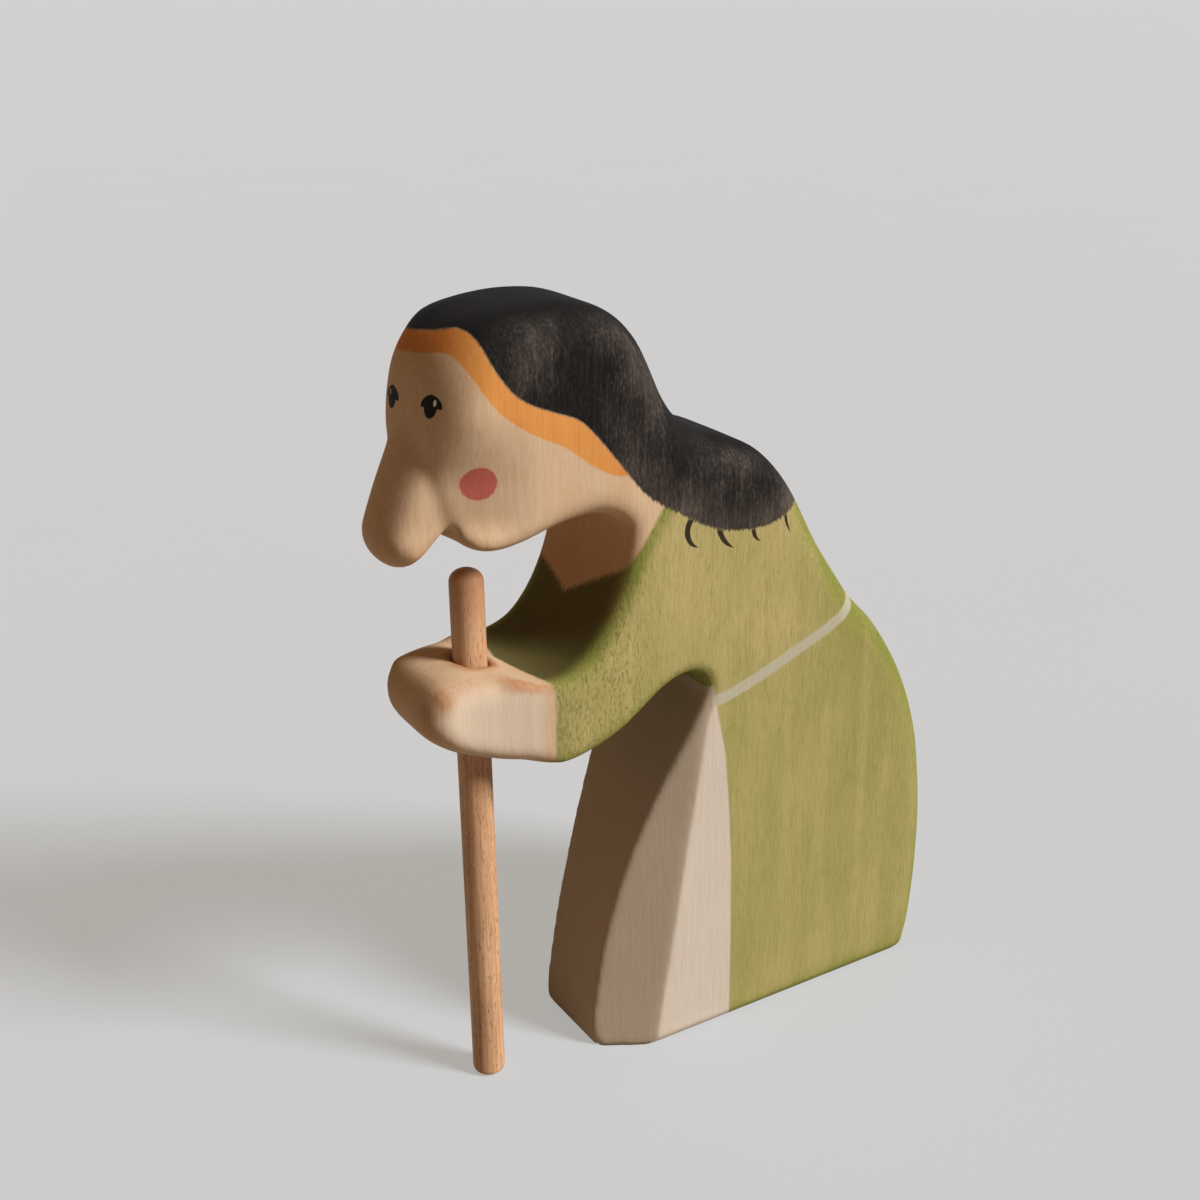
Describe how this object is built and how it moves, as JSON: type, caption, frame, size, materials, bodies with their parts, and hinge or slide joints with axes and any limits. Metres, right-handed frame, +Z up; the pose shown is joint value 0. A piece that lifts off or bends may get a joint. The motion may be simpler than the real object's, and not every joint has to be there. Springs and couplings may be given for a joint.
{
  "type": "wooden figure",
  "caption": "Stooped witch figure carved from a board and painted, free-standing, with a round walking stick that slides through a hole in the hands.",
  "frame": {"origin": "on the table, under the middle of the figure's bounding box", "axes": "+Z up; the figure looks towards -Y; X runs through the thickness of the board, with its left side at +X"},
  "size_m": [0.025, 0.095, 0.1203],
  "materials": {
    "painted_wood": "pale wood with thin matt watercolour paint",
    "beech": "sanded bare beech"
  },
  "bodies": {
    "figure": {"figure": "painted_wood"},
    "stick": {"walking_stick": "beech"}
  },
  "joints": [
    {"name": "stick_slide", "type": "slide", "parent": "figure", "child": "stick", "axis": [-0.0297, 0, 0.9996], "range_m": [-0.022, 0.004]}
  ]
}
